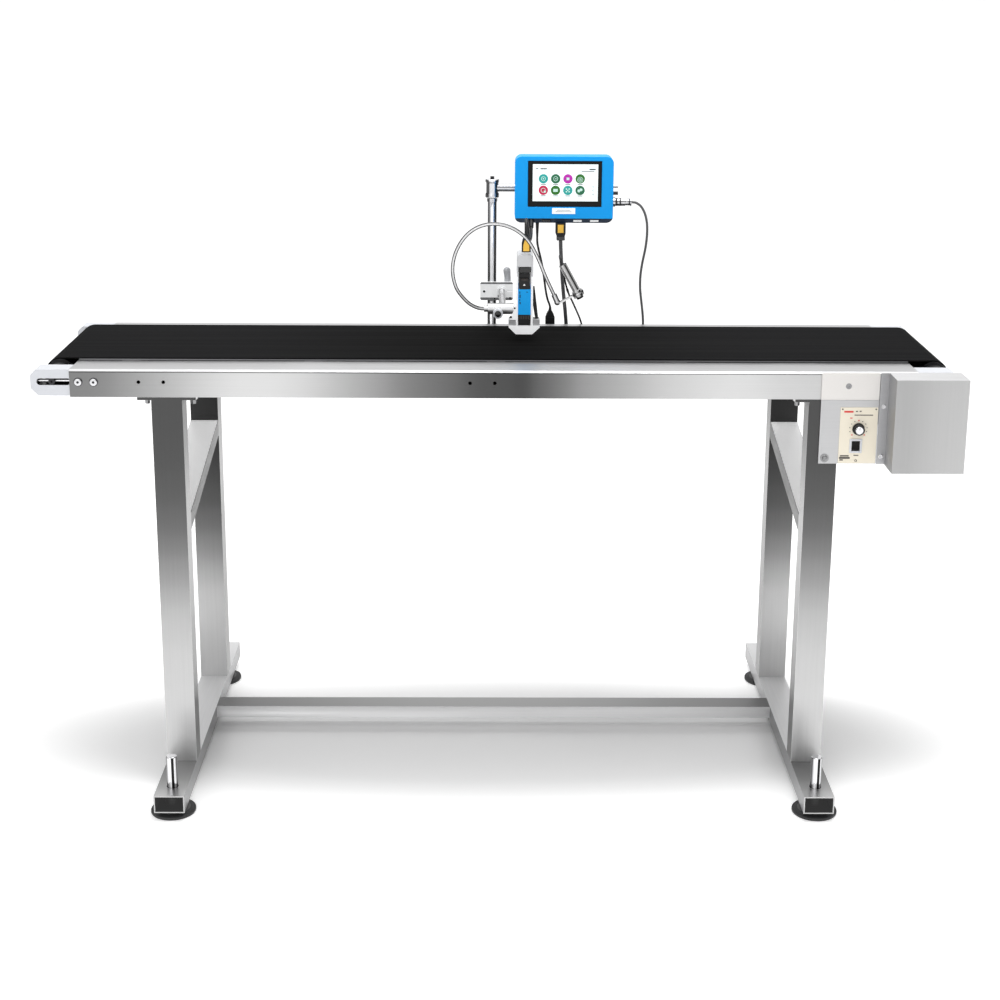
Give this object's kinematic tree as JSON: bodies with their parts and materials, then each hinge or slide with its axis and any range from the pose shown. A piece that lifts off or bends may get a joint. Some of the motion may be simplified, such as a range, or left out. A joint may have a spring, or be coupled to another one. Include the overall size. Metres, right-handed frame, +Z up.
{
  "type": "online inkjet date coder on a belt conveyor",
  "caption": "Belt conveyor on levelling feet with a pole-mounted thermal inkjet print head, photo sensor on a flexible arm, and a touch-screen controller.",
  "frame": {"origin": "on the floor under the middle of the machine", "axes": "+X along the belt towards the drive end, +Y across the belt away from the operator, +Z up"},
  "size_m": [1.5, 0.66, 1.036],
  "materials": {
    "steel_tube": "satin",
    "belt": "matte",
    "white_block": "satin",
    "bright_screw": "polished",
    "black_plastic": "satin",
    "cream_plastic": "satin",
    "blue_plastic": "gloss",
    "screen_glass": "gloss",
    "motor_grey": "satin",
    "dark_steel": "satin",
    "alu": "satin",
    "frosted": "gloss",
    "pad_rubber": "matte",
    "board": "satin",
    "grey_cable": "satin",
    "black_cable": "satin"
  },
  "bodies": {
    "conveyor": {"front_rail": "steel_tube", "rear_rail": "steel_tube", "slider_bed": "steel_tube", "conveyor_belt": "belt", "tail_blocks": "white_block", "head_blocks": "white_block", "rail_screws": "bright_screw", "uprights": "steel_tube", "braces": "steel_tube", "base_frame": "steel_tube", "plate_bolts": "bright_screw", "head_bearings": "bright_screw", "drive_plate": "steel_tube", "drive_cover": "steel_tube", "cover_screws": "bright_screw", "gear_motor": "motor_grey", "timing_belt": "belt", "control_box": "steel_tube", "cover_plate": "white_block", "control_panel": "cream_plastic", "speed_board": "board", "pole_bracket": "alu", "stand_rods": "steel_tube", "top_clamp": "alu", "controller_back": "blue_plastic", "controller_front": "blue_plastic", "screen": "screen_glass", "controller_fittings": "black_plastic", "junction_box": "black_plastic", "head_cable": "black_cable", "link_cable": "black_cable", "inline_plug": "black_plastic", "data_cable": "black_cable", "power_cable": "grey_cable", "sensor_cable": "black_cable"},
    "tail_carriage": {"tail_shaft": "dark_steel"},
    "tail_roller": {"tail_roller": "dark_steel"},
    "front_tension_screw": {"front_tension_screw": "bright_screw"},
    "rear_tension_screw": {"rear_tension_screw": "bright_screw"},
    "drive_roller": {"drive_roller": "dark_steel"},
    "motor_pulley": {"motor_pulley": "alu"},
    "speed_knob": {"speed_knob": "black_plastic"},
    "rocker": {"rocker": "black_plastic"},
    "bracket_knob": {"bracket_knob": "black_plastic"},
    "left_front_foot": {"left_front_foot": "pad_rubber"},
    "left_rear_foot": {"left_rear_foot": "pad_rubber"},
    "right_front_foot": {"right_front_foot": "pad_rubber"},
    "right_rear_foot": {"right_rear_foot": "pad_rubber"},
    "head_arm": {"clamp_block": "alu"},
    "clamp_lever": {"clamp_lever": "frosted"},
    "head": {"cross_rod": "steel_tube", "front_clamp": "alu", "head_frame": "white_block", "head_plug": "black_plastic", "gooseneck": "bright_screw", "sensor_bracket": "alu"},
    "front_knob": {"front_knob": "white_block"},
    "latch": {"latch": "black_plastic"},
    "cartridge": {"cartridge": "black_plastic"},
    "sensor": {"sensor": "bright_screw"}
  },
  "joints": [
    {"name": "left_front_foot_height", "type": "slide", "parent": "conveyor", "child": "left_front_foot", "axis": [0, 0, -1], "range_m": [0, 0.03]},
    {"name": "left_rear_foot_height", "type": "slide", "parent": "conveyor", "child": "left_rear_foot", "axis": [0, 0, -1], "range_m": [0, 0.03]},
    {"name": "right_front_foot_height", "type": "slide", "parent": "conveyor", "child": "right_front_foot", "axis": [0, 0, -1], "range_m": [0, 0.03]},
    {"name": "right_rear_foot_height", "type": "slide", "parent": "conveyor", "child": "right_rear_foot", "axis": [0, 0, -1], "range_m": [0, 0.03]},
    {"name": "tail_tension", "type": "slide", "parent": "conveyor", "child": "tail_carriage", "axis": [1, 0, 0], "range_m": [0, 0.01]},
    {"name": "tail_roller_spin", "type": "hinge", "parent": "tail_carriage", "child": "tail_roller", "pos_m": [-0.716, 0, 0.709], "axis": [0, 1, 0], "continuous": true},
    {"name": "front_tension_turn", "type": "hinge", "parent": "conveyor", "child": "front_tension_screw", "pos_m": [-0.745, -0.19, 0.709], "axis": [1, 0, 0], "range_deg": [0, 3600]},
    {"name": "rear_tension_turn", "type": "hinge", "parent": "conveyor", "child": "rear_tension_screw", "pos_m": [-0.745, 0.164, 0.709], "axis": [1, 0, 0], "range_deg": [0, 3600]},
    {"name": "drive_roller_spin", "type": "hinge", "parent": "conveyor", "child": "drive_roller", "pos_m": [0.723, 0, 0.709], "axis": [0, 1, 0], "continuous": true},
    {"name": "motor_spin", "type": "hinge", "parent": "conveyor", "child": "motor_pulley", "pos_m": [0.684, -0.2, 0.622], "axis": [0, 1, 0], "continuous": true},
    {"name": "speed_knob_turn", "type": "hinge", "parent": "conveyor", "child": "speed_knob", "pos_m": [0.5885, -0.205, 0.636], "axis": [0, 1, 0], "range_deg": [-150, 150]},
    {"name": "rocker_tilt", "type": "hinge", "parent": "conveyor", "child": "rocker", "pos_m": [0.5855, -0.202, 0.6075], "axis": [1, 0, 0], "range_deg": [0, 16]},
    {"name": "bracket_knob_turn", "type": "hinge", "parent": "conveyor", "child": "bracket_knob", "pos_m": [-0.006, 0.22, 0.705], "axis": [0, 1, 0], "range_deg": [0, 720]},
    {"name": "head_height", "type": "slide", "parent": "conveyor", "child": "head_arm", "axis": [0, 0, 1], "range_m": [-0.008, 0.08], "deforming": ["head_cable", "sensor_cable"]},
    {"name": "clamp_lever_turn", "type": "hinge", "parent": "head_arm", "child": "clamp_lever", "pos_m": [0.0225, 0.192, 0.8], "axis": [0, 0, 1], "range_deg": [0, 90]},
    {"name": "head_reach", "type": "slide", "parent": "head_arm", "child": "head", "axis": [0, 1, 0], "range_m": [-0.02, 0.03], "deforming": ["head_cable", "sensor_cable"]},
    {"name": "front_knob_turn", "type": "hinge", "parent": "head", "child": "front_knob", "pos_m": [0.004, 0.015, 0.78], "axis": [0, 1, 0], "range_deg": [0, 720]},
    {"name": "latch_open", "type": "hinge", "parent": "head", "child": "latch", "pos_m": [0.0495, 0.0105, 0.8548], "axis": [1, 0, 0], "range_deg": [0, 60]},
    {"name": "cartridge_tilt", "type": "hinge", "parent": "head", "child": "cartridge", "pos_m": [0.0495, 0.01, 0.761], "axis": [1, 0, 0], "range_deg": [0, 12]},
    {"name": "sensor_turn", "type": "hinge", "parent": "head", "child": "sensor", "pos_m": [0.1404, 0.012, 0.8182], "axis": [-0.4787, 0, 0.878], "range_deg": [-180, 180]}
  ],
  "couplings": [
    {"joint": "tail_roller_spin", "follows": "drive_roller_spin", "ratio": 1},
    {"joint": "motor_spin", "follows": "drive_roller_spin", "ratio": 1},
    {"joint": "front_tension_turn", "follows": "tail_tension", "rad_per_m": 6283.2},
    {"joint": "rear_tension_turn", "follows": "tail_tension", "rad_per_m": 6283.2}
  ]
}
